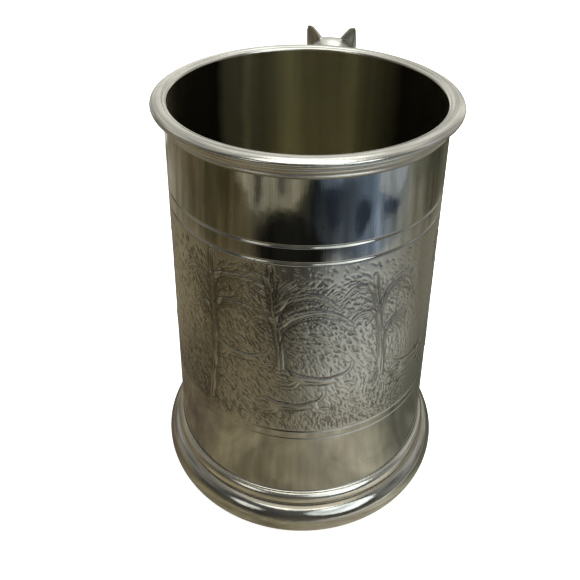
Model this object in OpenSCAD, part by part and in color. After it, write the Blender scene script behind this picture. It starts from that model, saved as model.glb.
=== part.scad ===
// A one-pint pewter tankard with a fox for a handle.
// The drum is rolled sheet; the lip, floor, foot and cast fox are soft-soldered to it.
// Millimetres, +Z up, origin at the centre of the foot's resting face, handle toward +Y.

/* [Drum] */
// Height of the lip above the surface that the tankard stands on
height = 130.6; // [116:0.2:142]
// Radius of the drum's outer face where the drum would meet the lip's top
drum_top_r = 37.4; // [34:0.1:42]
// Growth of the drum's radius for each millimetre further down
taper = 0.05; // [0.03:0.005:0.06]
// Thickness of the rolled pewter sheet
wall_t = 1.1; // [0.9:0.1:1.4]
// Width of the vertical seam where the sheet's ends meet, behind the handle
seam_w = 0.5; // [0.3:0.1:1]

/* [Turned lines] */
// Width of each turned line
line_w = 0.9; // [0.5:0.1:1.2]
// Depth of each turned line
line_depth = 0.35; // [0.2:0.05:0.5]
// Height of the upper line above the engraved band, as a part of the whole height
line_upper = 0.822; // [0.81:0.001:0.85]
// Height of the second line, at the top of the engraved band
line_second = 0.786; // [0.76:0.001:0.795]
// Height of the line under the engraved band
line_lower = 0.317; // [0.28:0.001:0.36]

/* [Lip] */
// How far the lip reaches out past the drum's top radius
lip_reach = 3.3; // [2.8:0.05:4]
// Radius of the lip's rolled outer edge
lip_edge_r = 0.95; // [0.8:0.05:1.1]
// Radius of the reed moulding under the lip
reed_r = 1.25; // [1.1:0.05:1.3]

/* [Foot] */
// Radius of the foot's large half-round
torus_r = 6.1; // [5.8:0.1:6.4]
// Height of the middle of the half-round
torus_z = 5.1; // [4.8:0.1:5.3]
// How far the foot bulges out past the drum
foot_reach = 5.3; // [4.8:0.1:5.8]
// Radius of the smaller moulding above the half-round
ovolo_r = 3; // [2.8:0.1:3.2]
// Radius of the bead at the top of the foot
bead_r = 0.4; // [0.3:0.05:0.5]
// Thickness of the metal in the hollow of the foot
foot_t = 1.3; // [1:0.1:1.8]

/* [Floor] */
// Height of the floor plate's underside
floor_z = 11.4; // [11.2:0.1:13]
// Thickness of the floor plate
floor_t = 1.4; // [1:0.1:2]
// Rise of the floor plate at its middle
floor_dome = 0.8; // [0:0.1:2]

/* [Fox handle] */
// Scale of the fox's girth all along the body
fox_girth = 1; // [0.85:0.01:1.1]
// How far the ribs stand out from the drum
fox_reach = 31; // [27:0.5:35]
// Distance from the middle of the head to each ear's tip
ear_spread = 7.1; // [6:0.1:8]

/* [Soldered joints] */
// Leg of the solder fillets that run round the drum
fillet = 0.3; // [0.2:0.05:0.5]
// Leg of the fillet that holds the floor plate from below
floor_fillet = 0.9; // [0.5:0.1:1.2]
// Depth of the solder between the drum and each foot of the fox
pad_depth = 0.5; // [0.3:0.1:0.8]

/* [Hidden] */
$fn = 96;

arc_steps = 8;          // straight steps in each arc of a moulding's outline
hull_fn = 14;           // facets round the fox's limbs
fine_fn = 480;          // facets round the faces that the solder pads fit against
lip_h = 3.6;            // height of the lip above the drum's top edge
mouth_edge_r = 0.8;     // radius of the lip's inner edge
mouth_drop = 0.4;       // how far the inner edge lies below the lip's crown
skirt_h = 2;            // the lip's skirt, which laps over the drum's top edge
skirt_t = 0.2;          // thickness of that skirt at its lower edge
neck_t = 0.45;          // thickness of the skirt's neck, under the reed
neck_z = [0.2, 0.8];    // height of the neck's two ends above the skirt's edge
reed_rise = 0.95;       // height of the reed's lower side above the skirt's edge
reed_sink = 0.25;       // how deep the reed's middle lies inside the drum's face
tuck = 0.2;             // how far the foot's smaller moulding is set out and up from the crease
bead_out = 0.15;        // how far the bead's middle stands out from the drum
rest_in = 0.6;          // how far the resting ring lies inside the end of the half-round
floor_rim_w = 4;        // width of the flat rim round the floor plate's dome
drum_end_z = 10;        // lower edge of the drum, inside the foot
rest_w = 2.4;           // width of the flat ring that the tankard stands on
modelled_height = 130.6; // height at which the fox's joints are written down
drum_top_z = height - lip_h;
skirt_z = drum_top_z - skirt_h;

// Outer and inner radius of the drum's wall at height z
function drum_r(z) = drum_top_r + taper * (height - z);
function bore_r(z) = drum_r(z) - wall_t;

// Points along an arc in the r-z plane, from angle a0 to angle a1
function arc(centre, r, a0, a1) = [
    for (i = [0:arc_steps])
        let (a = a0 + (a1 - a0) * i / arc_steps)
        [centre[0] + r * cos(a), centre[1] + r * sin(a)]
];

// One turned line as three points on the outline, from its upper edge to its lower
function turned_line(z) = [
    [drum_r(z + line_w / 2), z + line_w / 2],
    [drum_r(z) - line_depth, z],
    [drum_r(z - line_w / 2), z - line_w / 2]
];

// ---- Drum ----

module drum_wall() {
    rotate_extrude()
        polygon(concat(
            [[bore_r(drum_end_z), drum_end_z], [bore_r(drum_top_z), drum_top_z],
                [drum_r(drum_top_z), drum_top_z]],
            turned_line(line_upper * height),
            turned_line(line_second * height),
            turned_line(line_lower * height),
            [[drum_r(drum_end_z), drum_end_z]]
        ));
}

module seam_slot() {
    translate([-seam_w / 2, 0, 0])
        cube([seam_w, 2 * drum_r(0), height]);
}

module drum() {
    color("silver")
        difference() {
            drum_wall();
            seam_slot();
        }
}

module drum_seam_solder() {
    color("darkgray")
        intersection() {
            drum_wall();
            seam_slot();
        }
}

// ---- Lip ----

module mouth_wire() {
    edge_c = [drum_top_r + lip_reach - lip_edge_r, height - lip_edge_r];
    mouth_c = [bore_r(height) + mouth_edge_r, height - mouth_drop - mouth_edge_r];
    reed_z = skirt_z + reed_rise + reed_r;
    neck_r = drum_r(skirt_z) + neck_t;
    color("gainsboro")
        rotate_extrude()
            polygon(concat(
                [[bore_r(drum_top_z), drum_top_z]],
                arc(mouth_c, mouth_edge_r, 180, 90),
                arc(edge_c, lip_edge_r, 90, -60),
                arc([drum_r(reed_z) - reed_sink, reed_z], reed_r, 65, -65),
                [[neck_r, skirt_z + neck_z[1]], [neck_r, skirt_z + neck_z[0]],
                    [drum_r(skirt_z) + skirt_t, skirt_z], [drum_r(skirt_z), skirt_z],
                    [drum_r(drum_top_z), drum_top_z]]
            ));
}

module mouth_wire_solder() {
    color("darkgray")
        rotate_extrude()
            polygon([[drum_r(skirt_z), skirt_z], [drum_r(skirt_z) + skirt_t, skirt_z],
                [drum_r(skirt_z - fillet), skirt_z - fillet]]);
}

// ---- Foot and floor ----

// The half-round ends at the crease above it, where the smaller moulding begins
crease_a = 77;
torus_c = [drum_r(torus_z) + foot_reach - torus_r, torus_z];
crease_r = torus_c[0] + torus_r * cos(crease_a);
crease_z = torus_z + torus_r * sin(crease_a);
ovolo_a = [-39, 70];
ovolo_c = [
    crease_r + tuck - ovolo_r * cos(ovolo_a[0]),
    crease_z + tuck - ovolo_r * sin(ovolo_a[0])
];
bead_z = ovolo_c[1] + ovolo_r * sin(ovolo_a[1]) + 0.7 * bead_r;
foot_top_z = bead_z + bead_r;
rest_a = -50;
rest_r = torus_c[0] + torus_r * cos(rest_a) - rest_in;

module foot_moulding() {
    hollow_r = torus_r - foot_t;
    hollow_a = asin((torus_z - foot_t) / hollow_r);
    color("gainsboro")
        rotate_extrude()
            polygon(concat(
                [[drum_r(foot_top_z), foot_top_z]],
                arc([drum_r(bead_z) + bead_out, bead_z], bead_r, 90, -60),
                arc(ovolo_c, ovolo_r, ovolo_a[1], ovolo_a[0]),
                arc(torus_c, torus_r, crease_a, rest_a),
                [[rest_r, 0], [rest_r - rest_w, 0], [rest_r - rest_w, foot_t]],
                arc(torus_c, hollow_r, -hollow_a, 40),
                [[drum_r(drum_end_z), drum_end_z]]
            ));
}

module foot_solder() {
    color("darkgray")
        rotate_extrude()
            polygon([[drum_r(foot_top_z), foot_top_z], [drum_r(foot_top_z) + fillet, foot_top_z],
                [drum_r(foot_top_z + fillet), foot_top_z + fillet]]);
}

module floor_plate() {
    top_z = floor_z + floor_t;
    rim_r = bore_r(floor_z) - floor_rim_w;
    color("darkkhaki")
        rotate_extrude()
            polygon([[0, floor_z + floor_dome], [rim_r, floor_z], [bore_r(floor_z), floor_z],
                [bore_r(top_z), top_z], [rim_r, top_z], [0, top_z + floor_dome]]);
}

module floor_solder() {
    color("darkgray")
        rotate_extrude()
            polygon([[bore_r(floor_z), floor_z], [bore_r(floor_z) - floor_fillet, floor_z],
                [bore_r(floor_z - floor_fillet), floor_z - floor_fillet]]);
}

// ---- Fox handle ----
// Each joint of the fox is [to the side, out from the drum, height, radius].

trunk = [
    [0, 15.5, 119.8, 6.2], [0, 20.8, 113, 6.7], [0, 26.3, 103.5, 8.2], [0, fox_reach, 91, 8],
    [0, fox_reach + 1.8, 76, 6.6], [0, fox_reach - 0.4, 62, 7], [0, fox_reach - 6, 50.5, 8.2]
];
tail = [
    [0, fox_reach - 2.8, 45, 3.2], [0, fox_reach + 0.8, 36, 4.2], [0, fox_reach + 0.3, 25, 5.6],
    [0, 25, 14.5, 5.8], [0, 16, 8.5, 4.2], [0, 8.6, 7.5, 2]
];
foreleg = [[5.5, 24, 106, 5], [7.5, 18.6, 100, 3.4], [6.6, 9.8, 103.5, 2.4], [6, 2.4, 105, 2.5]];
hind_leg = [
    [4.5, 23.6, 51, 6.8], [7, 14, 46.5, 4.2], [6.8, 15.9, 35.5, 2.6], [6.4, 7.2, 31, 2.5],
    [6.2, 2.2, 29.5, 2.4]
];
head = [[0, 13.2, 123.2, 6.3], [0, 9.1, 121.2, 4.4], [0, 4.8, 118.2, 2.5], [0, 2, 117.2, 1.9]];
ear_outer = [7.3, 14.6, 125, 1.3];
ear_inner = [2.4, 13.8, 126.6, 1.3];
ear_back = [4.8, 16.8, 125.4, 1.6];
ear_tip = [ear_spread, 14.2, 132, 0.6];

// Each solder pad is [angle round the drum, height, radius]
forepaw_pad = [8.4, 105, 2];
hindpaw_pad = [8, 29.5, 2];
chin_pad = [0, 117.2, 1.2];

// A joint's place in the tankard's own frame, on the side given as 1 or -1
function rise(z) = z * height / modelled_height;
function place(joint, side) = [side * joint[0], drum_r(rise(joint[2])) + joint[1], rise(joint[2])];

module limb(joints, side = 1) {
    for (i = [0:len(joints) - 2])
        hull()
            for (joint = [joints[i], joints[i + 1]])
                translate(place(joint, side))
                    sphere(r = fox_girth * joint[3], $fn = hull_fn);
}

module ear(side) {
    hull()
        for (joint = [ear_outer, ear_inner, ear_back, ear_tip])
            translate(place(joint, side))
                sphere(r = joint[3], $fn = hull_fn);
}

// The flat on the drum's side of a foot, where its solder pad takes over
module pad_clearance(pad, side) {
    reach = 12;
    z = rise(pad[1]);
    rotate([0, 0, -side * pad[0]])
        translate([-reach / 2, drum_r(z) + pad_depth - reach, z - reach / 2])
            cube([reach, reach, reach]);
}

module fox_handle() {
    color("silver")
        difference() {
            union() {
                limb(trunk);
                limb(tail);
                limb(head);
                limb([trunk[0], head[0]]);
                limb([trunk[6], tail[0]]);
                for (side = [-1, 1]) {
                    limb(foreleg, side);
                    limb(hind_leg, side);
                    ear(side);
                }
            }
            for (side = [-1, 1]) {
                pad_clearance(forepaw_pad, side);
                pad_clearance(hindpaw_pad, side);
            }
            pad_clearance(chin_pad, 1);
            tail_clearance();
        }
}

// One solder pad: round, curved to the drum inside and flat against the fox outside
module solder_pad(pad, side) {
    z = rise(pad[1]);
    difference() {
        rotate([0, 0, -side * pad[0]])
            translate([0, drum_r(z) - 1, z])
                rotate([-90, 0, 0])
                    cylinder(r = pad[2], h = pad_depth + 1);
        cylinder(r1 = drum_r(0), r2 = drum_r(height), h = height, $fn = fine_fn);
    }
}

module forepaw_solder() {
    color("darkgray")
        for (side = [-1, 1])
            solder_pad(forepaw_pad, side);
}

module hindpaw_solder() {
    color("darkgray")
        for (side = [-1, 1])
            solder_pad(hindpaw_pad, side);
}

module chin_solder() {
    color("darkgray")
        solder_pad(chin_pad, 1);
}

// The tail's tip lies against the foot's half-round
tail_pad_r = 1.8;
tail_pad_z = rise(tail[5][2]);
tail_face_y = torus_c[0] + torus_r + pad_depth;

module tail_clearance() {
    reach = 12;
    translate([-reach / 2, tail_face_y - reach, tail_pad_z - reach / 2])
        cube([reach, reach, reach]);
}

module tail_solder() {
    color("darkgray")
        difference() {
            translate([0, tail_face_y - pad_depth - 1, tail_pad_z])
                rotate([-90, 0, 0])
                    cylinder(r = tail_pad_r, h = pad_depth + 1);
            rotate_extrude($fn = fine_fn)
                polygon(concat([[0, 0]], arc(torus_c, torus_r, rest_a, crease_a), [[0, crease_z]]));
        }
}

drum();
drum_seam_solder();
mouth_wire();
mouth_wire_solder();
floor_plate();
floor_solder();
foot_moulding();
foot_solder();
fox_handle();
forepaw_solder();
chin_solder();
hindpaw_solder();
tail_solder();
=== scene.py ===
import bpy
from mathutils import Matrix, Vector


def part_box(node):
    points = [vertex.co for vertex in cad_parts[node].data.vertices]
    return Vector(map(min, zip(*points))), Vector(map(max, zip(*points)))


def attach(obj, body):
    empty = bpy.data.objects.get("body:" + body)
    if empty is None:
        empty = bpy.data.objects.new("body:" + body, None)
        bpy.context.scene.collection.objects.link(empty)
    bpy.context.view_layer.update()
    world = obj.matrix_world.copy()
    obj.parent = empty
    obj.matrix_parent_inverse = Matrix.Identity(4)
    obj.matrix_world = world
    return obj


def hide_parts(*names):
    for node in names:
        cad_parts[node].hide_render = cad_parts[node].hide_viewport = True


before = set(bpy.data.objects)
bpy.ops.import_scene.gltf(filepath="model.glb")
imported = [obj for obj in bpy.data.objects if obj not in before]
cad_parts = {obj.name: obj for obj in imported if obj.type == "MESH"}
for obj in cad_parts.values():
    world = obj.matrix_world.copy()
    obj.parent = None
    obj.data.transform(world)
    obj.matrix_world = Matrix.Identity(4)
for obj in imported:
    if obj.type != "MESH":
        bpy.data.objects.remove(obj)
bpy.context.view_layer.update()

import math

import bpy
import numpy as np
import openvdb
from mathutils import Matrix, Vector

# A pewter tankard with a fox for a handle. Lengths are in millimetres until a mesh is made.
# Angles round the drum are zero at -Y, the side away from the fox, and grow towards +X.
MM = 0.001
PI = math.pi


def node_box(node):
    """Lowest and highest corner of a CAD node, in millimetres."""
    return [np.array(corner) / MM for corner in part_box(node)]


def half_width(node):
    low, high = node_box(node)
    return (high[0] - low[0]) / 2


# ---- Sizes, from the frame ----
SKIRT_Z, HEIGHT = [corner[2] for corner in node_box("mouth_wire")]
DRUM_END_Z, DRUM_TOP_Z = [corner[2] for corner in node_box("drum")]
FLOOR_Z = node_box("floor_plate")[0][2]
LIP_R = half_width("mouth_wire")
FOOT_R = half_width("foot_moulding")
SEAM_HALF = half_width("drum_seam_solder")

LIP_REACH, REED_R, REED_RISE = 3.3, 1.25, 0.95
TORUS_R, TORUS_Z, OVOLO_R, BEAD_R = 6.1, 5.1, 3.0, 0.4
WALL_T, FOOT_T, FLOOR_T, FLOOR_DOME = 1.1, 1.3, 1.4, 0.8
LINE_W, LINE_DEPTH = 0.9, 0.35
DRUM_TOP_R = LIP_R - LIP_REACH
TAPER = (half_width("drum") - DRUM_TOP_R) / (HEIGHT - DRUM_END_Z)
LINES = [part * HEIGHT for part in (0.822, 0.786, 0.317)]
BAND_LOW, BAND_HIGH = 44.6, LINES[1] - LINE_W


def drum_r(z):
    return DRUM_TOP_R + TAPER * (HEIGHT - z)


def bore_r(z):
    return drum_r(z) - WALL_T


# ---- Meshes ----
def placed(name, data):
    """An object in the scene that shows the data."""
    made = bpy.data.objects.new(name, data)
    bpy.context.scene.collection.objects.link(made)
    return made


def mesh_object(name, points, faces):
    """A smooth-shaded object from points in millimetres and faces."""
    mesh = bpy.data.meshes.new(name)
    mesh.from_pydata((points * MM).tolist(), [], faces)
    mesh.update()
    mesh.polygons.foreach_set("use_smooth", [True] * len(mesh.polygons))
    mesh.set_sharp_from_angle(angle=math.radians(50))
    return placed(name, mesh)


def round_points(angles, r, z):
    """Points at angles round the drum, with their radii and heights."""
    places = np.broadcast_arrays(r * np.sin(angles), -r * np.cos(angles), z)
    return np.stack(places, axis=-1).reshape(-1, 3)


def store_recess(made, depth):
    """How deep each point lies in a cut, from 0 to 1, for the material's dirt."""
    attribute = made.data.attributes.new("recess", "FLOAT", "POINT")
    attribute.data.foreach_set("value", depth)


def stands_for(piece, material, slot, *nodes):
    """The piece takes a material, rides on the tankard and replaces CAD nodes."""
    if material:
        piece.data.materials.append(material)
    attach(piece, "root")
    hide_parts(*nodes)
    return piece


def on_circle(centre, radius, degrees):
    """A point of a circle in the (radius, height) plane."""
    angle = math.radians(degrees)
    return centre[0] + radius * math.cos(angle), centre[1] + radius * math.sin(angle)


def arc(centre, radius, start, end, steps=12):
    return [on_circle(centre, radius, degrees) for degrees in np.linspace(start, end, steps + 1)]


def spaced(outline, step):
    """The closed outline with long straight runs divided into steps."""
    points = []
    for (r0, z0), (r1, z1) in zip(outline, outline[1:] + outline[:1]):
        count = max(1, round(math.hypot(r1 - r0, z1 - z0) / step))
        points += [(r0 + (r1 - r0) * i / count, z0 + (z1 - z0) * i / count) for i in range(count)]
    return points


def wobble(angle, z, size):
    """The slight unevenness of hand-finished metal, in millimetres."""
    return size * (
        0.5 * np.sin(2 * angle + 0.03 * z + 0.4)
        + 0.3 * np.sin(5 * angle - 0.05 * z + 2.1)
        + 0.2 * np.sin(9 * angle + 0.11 * z)
        + 0.12 * np.sin(17 * angle - 0.23 * z + 1.0)
    )


def ring_faces(rows, columns, closed_rows, closed_columns):
    index = np.arange(rows * columns).reshape(rows, columns)
    if closed_rows:
        index = np.vstack([index, index[:1]])
    if closed_columns:
        index = np.hstack([index, index[:, :1]])
    low, high = index[:-1], index[1:]
    faces = np.stack([low[:, :-1], low[:, 1:], high[:, 1:], high[:, :-1]], axis=-1)
    return faces.reshape(-1, 4)


def lathe(name, outline, uneven):
    """A ring turned from a closed outline of (radius, height) points, given anticlockwise."""
    columns = 480
    outline = np.array(outline)
    angles = np.linspace(-PI, PI, columns, endpoint=False)
    r, z = outline[:, :1], outline[:, 1:]
    points = round_points(angles, r + wobble(angles, z, uneven), z)
    return mesh_object(name, points, ring_faces(len(outline), columns, True, True).tolist())


# ---- Lip, foot and floor ----
def lip_outline():
    mouth_edge_r, mouth_drop, crown_r, edge_r, shoulder_a = 0.8, 0.4, 3.6, 0.85, 55
    skirt_t, neck_r, reed_sink = 0.2, 0.25, 0.25
    mouth_c = (bore_r(HEIGHT) + mouth_edge_r, HEIGHT - mouth_drop - mouth_edge_r)
    inset = crown_r - edge_r
    crown_c = (on_circle((LIP_R - edge_r, 0), -inset, shoulder_a)[0], HEIGHT - crown_r)
    edge_c = on_circle(crown_c, inset, shoulder_a)
    reed_z = SKIRT_Z + REED_RISE + REED_R
    neck_c = (drum_r(SKIRT_Z) + 0.3, SKIRT_Z + 0.45)
    return spaced(
        [(drum_r(SKIRT_Z), SKIRT_Z), (drum_r(SKIRT_Z) + skirt_t, SKIRT_Z)]
        + arc(neck_c, neck_r, -60, 60, 5)
        + arc((drum_r(reed_z) - reed_sink, reed_z), REED_R, -58, 62)
        + arc(edge_c, edge_r, -60, shoulder_a)[:-1]
        + arc(crown_c, crown_r, shoulder_a, 96)
        + arc(mouth_c, mouth_edge_r, 90, 180)
        + [(bore_r(DRUM_TOP_Z), DRUM_TOP_Z), (drum_r(DRUM_TOP_Z), DRUM_TOP_Z)],
        0.4,
    )


def foot_outline():
    crease_a, ovolo_a, rest_a, rest_w = 77, (-39, 70), -50, 2.4
    tuck, rest_in, rest_edge, bead_out = 0.2, 0.6, 0.15, 0.15
    torus_c = (FOOT_R - TORUS_R, TORUS_Z)
    crease = on_circle(torus_c, TORUS_R, crease_a)
    ovolo_c = on_circle([place + tuck for place in crease], -OVOLO_R, ovolo_a[0])
    bead_z = on_circle(ovolo_c, OVOLO_R, ovolo_a[1])[1] + 0.7 * BEAD_R
    top_z = bead_z + BEAD_R
    rest_r = on_circle(torus_c, TORUS_R, rest_a)[0] - rest_in
    rest_inner_r = rest_r - rest_w
    hollow_r = TORUS_R - FOOT_T
    hollow_a = math.degrees(math.asin((TORUS_Z - FOOT_T) / hollow_r))
    return spaced(
        [(drum_r(DRUM_END_Z), DRUM_END_Z)]
        + arc(torus_c, hollow_r, 40, -hollow_a)
        + [(rest_inner_r, FOOT_T), (rest_inner_r, rest_edge), (rest_inner_r + rest_edge, 0), (rest_r, 0)]
        + arc(torus_c, TORUS_R, rest_a, crease_a, 28)
        + arc(ovolo_c, OVOLO_R, *ovolo_a, 18)
        + arc((drum_r(bead_z) + bead_out, bead_z), BEAD_R, -60, 90, 8)
        + [(drum_r(top_z), top_z)],
        0.5,
    )


def floor_object(name):
    """The floor plate, slightly domed, with rings left by turning."""
    columns, ring_count, rim_w, centre_r = 240, 60, 4.0, 0.3
    ring_h, ring_pitch = 0.03, 2.1
    top_z = FLOOR_Z + FLOOR_T
    rim_r = bore_r(FLOOR_Z) - rim_w
    radii = np.linspace(centre_r, rim_r, ring_count)
    rings = ring_h * np.sin(radii * ring_pitch)
    dome = FLOOR_DOME * (1 - (radii / rim_r) ** 2)
    top = [(r, top_z + d + k) for r, d, k in zip(radii, dome, rings)]
    under = [(r, FLOOR_Z + d) for r, d in zip(radii, dome)]
    outline = np.array(under + [(bore_r(FLOOR_Z), FLOOR_Z), (bore_r(top_z), top_z)] + top[::-1])
    angles = np.linspace(-PI, PI, columns, endpoint=False)
    points = round_points(angles, outline[:, :1], outline[:, 1:])
    faces = ring_faces(len(outline), columns, False, True).tolist()
    last = (len(outline) - 1) * columns
    faces.append(list(range(columns))[::-1])
    faces.append(list(range(last, last + columns)))
    return mesh_object(name, points, faces)


# ---- Engraving: a woodland hunt, drawn on the unrolled band ----
# Places on the band are (degrees round the drum, height). Depths and heights are in millimetres.
COLUMNS = 1120
BAND_ROWS = 212
MID_R = drum_r((BAND_LOW + BAND_HIGH) / 2)
DEGREE = MID_R * PI / 180


class Band:
    """A height field over the unrolled band, drawn with round-ended strokes."""

    def __init__(self):
        self.z = np.linspace(BAND_HIGH, BAND_LOW, BAND_ROWS)
        self.cell = np.array([2 * PI * MID_R / COLUMNS, (BAND_HIGH - BAND_LOW) / (BAND_ROWS - 1)])
        self.figure = np.full((BAND_ROWS, COLUMNS), 9.0)
        self.cut = np.zeros((BAND_ROWS, COLUMNS))
        self.figure_stamps = []
        self.cut_stamps = []

    def walk(self, path, step):
        """Points along a smooth curve through the path's (degrees, height, width) points."""
        path = np.array(path, float)
        path[:, 0] *= DEGREE
        if len(path) > 2:
            path = smooth_path(path, 6)
        lengths = np.r_[0, np.cumsum(np.hypot(*np.diff(path[:, :2], axis=0).T))]
        count = max(2, int(lengths[-1] / step) + 1)
        at = np.linspace(0, lengths[-1], count)
        return along_path(path, lengths, at), at / lengths[-1]

    def raise_figure(self, path):
        """A raised form along a path of (degrees, height, half width)."""
        points, _ = self.walk(path, 0.3)
        self.figure_stamps.append(points)

    def incise(self, path, depth, half_width=0.26):
        """A cut line that fades at both ends."""
        points, along = self.walk([(a, z, half_width) for a, z in path], 0.16)
        fade = np.minimum(1, 0.25 + 3.2 * np.minimum(along, 1 - along)) * depth
        self.cut_stamps.append(np.column_stack([points, fade]))

    def near(self, stamps, reach):
        """Indices of the cells near each stamp, their distances, and the stamp each belongs to."""
        span = np.ceil(reach / self.cell).astype(int)
        dj, di = np.meshgrid(np.arange(-span[0], span[0] + 1), np.arange(-span[1], span[1] + 1))
        j0 = np.round(stamps[:, 0] / self.cell[0]).astype(int)
        i0 = np.round((BAND_HIGH - stamps[:, 1]) / self.cell[1]).astype(int)
        j, i = j0[:, None] + dj.ravel(), i0[:, None] + di.ravel()
        dx = j * self.cell[0] - stamps[:, :1]
        dz = (BAND_HIGH - i * self.cell[1]) - stamps[:, 1:2]
        inside = (i >= 0) & (i < BAND_ROWS)
        # column 0 is at -180 degrees
        column = (j + COLUMNS // 2) % COLUMNS
        return i, column, np.hypot(dx, dz), inside

    def draw_figures(self):
        stamps = np.vstack(self.figure_stamps)
        i, j, distance, inside = self.near(stamps, 3.4)
        value = distance - stamps[:, 2:3]
        np.minimum.at(self.figure, (i[inside], j[inside]), value[inside])

    def draw_cuts(self):
        stamps = np.vstack(self.cut_stamps)
        i, j, distance, inside = self.near(stamps, 0.9)
        value = stamps[:, 3:4] * np.exp(-((distance / stamps[:, 2:3]) ** 2))
        np.maximum.at(self.cut, (i[inside], j[inside]), value[inside])

    def clear_of_figures(self, angle, z, room):
        i = int(np.clip(round((BAND_HIGH - z) / self.cell[1]), 0, BAND_ROWS - 1))
        j = (round(angle * DEGREE / self.cell[0]) + COLUMNS // 2) % COLUMNS
        return self.figure[i, j] > room


def along_path(path, lengths, at):
    """The path's numbers at distances along it."""
    return np.stack([np.interp(at, lengths, column) for column in path.T], axis=-1)


def smooth_path(path, steps):
    """Catmull-Rom points through the given points."""
    ends = np.vstack([2 * path[0] - path[1], path, 2 * path[-1] - path[-2]])
    t = np.linspace(0, 1, steps, endpoint=False)[:, None]
    parts = []
    for a, b, c, d in zip(ends, ends[1:], ends[2:], ends[3:]):
        parts.append(
            0.5 * (2 * b + (c - a) * t
                   + (2 * a - 5 * b + 4 * c - d) * t**2 + (3 * b - a - 3 * c + d) * t**3)
        )
    return np.vstack(parts + [path[-1:]])


# A hound at full stretch, facing left: strokes of (along, up, half width) in millimetres
HOUND = [
    [(-5.2, 0.6, 1.1), (-2.5, 0.1, 1.25), (1.0, -0.3, 0.95), (3.4, 0.0, 0.95), (5.4, 0.5, 1.2)],
    [(-5.0, 0.9, 1.0), (-6.6, 2.0, 0.85), (-7.8, 2.3, 0.75), (-9.3, 1.8, 0.4)],
    [(-5.0, -0.2, 0.65), (-6.8, -1.6, 0.4), (-9.2, -1.4, 0.32)],
    [(-4.2, -0.4, 0.6), (-5.4, -2.4, 0.38), (-7.6, -2.9, 0.3)],
    [(5.6, 0.1, 0.8), (6.6, -1.5, 0.5), (8.2, -1.5, 0.38), (9.6, -2.4, 0.3)],
    [(5.0, 0.0, 0.7), (5.4, -2.0, 0.45), (7.0, -2.5, 0.34), (8.2, -3.5, 0.28)],
    [(5.9, 1.0, 0.4), (7.4, 2.2, 0.32), (8.4, 3.8, 0.26), (8.2, 5.0, 0.2)],
]
HOUND_LINES = [
    [(-7.0, 2.5), (-6.3, 1.6), (-6.4, 0.9)],
    [(-8.6, 2.8), (-6.6, 3.0), (-5.0, 2.1), (-2.4, 1.5), (1.0, 0.9), (3.6, 1.2), (5.4, 1.9), (6.8, 2.5)],
    [(-8.8, 1.2), (-7.4, 1.2), (-6.4, 0.2)],
    [(-3.6, -1.2), (-1.6, -1.35), (1.2, -1.45), (3.4, -1.2), (4.6, -1.0)],
    [(-3.4, 0.2), (-1.0, -0.3), (1.6, -0.7)],
    [(4.0, 0.7), (4.9, 0.1), (5.2, -1.0)],
]


def hound(band, angle, z, lean=0.0, size=1.0):
    turn = math.radians(lean)

    def place(x, y):
        along = size * (x * math.cos(turn) - y * math.sin(turn))
        up = size * (x * math.sin(turn) + y * math.cos(turn))
        return angle + along / DEGREE, z + up

    for stroke in HOUND:
        band.raise_figure([(*place(x, y), size * w) for x, y, w in stroke])
    for line in HOUND_LINES:
        band.incise([place(x, y) for x, y in line], 0.2, 0.2)


def tree(band, rng, angle, top, foot, lean, branches):
    """A trunk with a ribbed bark and branches that arch away, each hung with sprays of leaves."""
    def centre(z):
        part = (z - foot) / (top - foot)
        return angle + lean * part + 1.2 * math.sin(0.11 * z)

    heights = np.linspace(foot, top, 8)
    widths = [0.8 + 1.1 * ((top - z) / (top - foot)) ** 2.2 for z in heights]
    band.raise_figure([(centre(z), z, 0.62 * w) for z, w in zip(heights, widths)])
    for rib in np.linspace(-1, 1, 5):
        shift = rng.uniform(0, 6)
        for start in np.arange(foot + shift - 4, top - 2, 9.5):
            zs = np.linspace(start, min(start + rng.uniform(5.5, 8.5), top), 4)
            inside = [(z - foot) / (top - foot) for z in zs]
            path = [(centre(z) + rib * (0.9 + 1.2 * (1 - p) ** 2) / DEGREE, z) for z, p in zip(zs, inside)]
            band.incise(path, rng.uniform(0.1, 0.2), 0.24)
    for side in (-1, 1):
        for root in range(4):
            reach = (0.8 + 0.9 * root) * side
            start = (centre(foot + 3) + side * 1.2 / DEGREE, foot + 3 - root)
            band.incise([start, (centre(foot) + reach / DEGREE, foot - 0.7 * root - 0.5)], 0.16, 0.24)
    for blade in np.linspace(-1, 1, 13):
        root = foot + (top - foot) * rng.uniform(0.5, 0.62)
        spread = blade * rng.uniform(6, 9)
        rise = (top - root) * rng.uniform(0.75, 0.98) * (1 - 0.35 * blade**2)
        path = [(centre(root) + 0.5 * blade / DEGREE, root),
                (centre(root) + 0.3 * spread / DEGREE, root + 0.65 * rise),
                (centre(root) + spread / DEGREE, root + rise)]
        band.incise(path, rng.uniform(0.1, 0.2), 0.24)
    for direction, start_z, reach, rise, thick in branches:
        bough(band, rng, centre(start_z), start_z, direction, reach, rise, thick)
        for strand in range(6):
            drop, lift = rng.uniform(5, 15), 0.62 * (strand - 2.5)
            aside = direction * (0.1 + 0.28 * strand)
            steps = [(0.0, -drop), (0.0, -0.4 * drop), (0.10, 0.1 * rise + lift),
                     (0.34, 0.8 * rise + 1.2 * lift), (0.62, 0.95 * rise + 1.4 * lift),
                     (rng.uniform(0.8, 0.98), 0.35 * rise + 1.7 * lift)]
            path = [(centre(start_z + up) + (aside + direction * reach * out) / DEGREE, start_z + up)
                    for out, up in steps]
            band.incise(path, rng.uniform(0.1, 0.2), 0.19)


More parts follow.
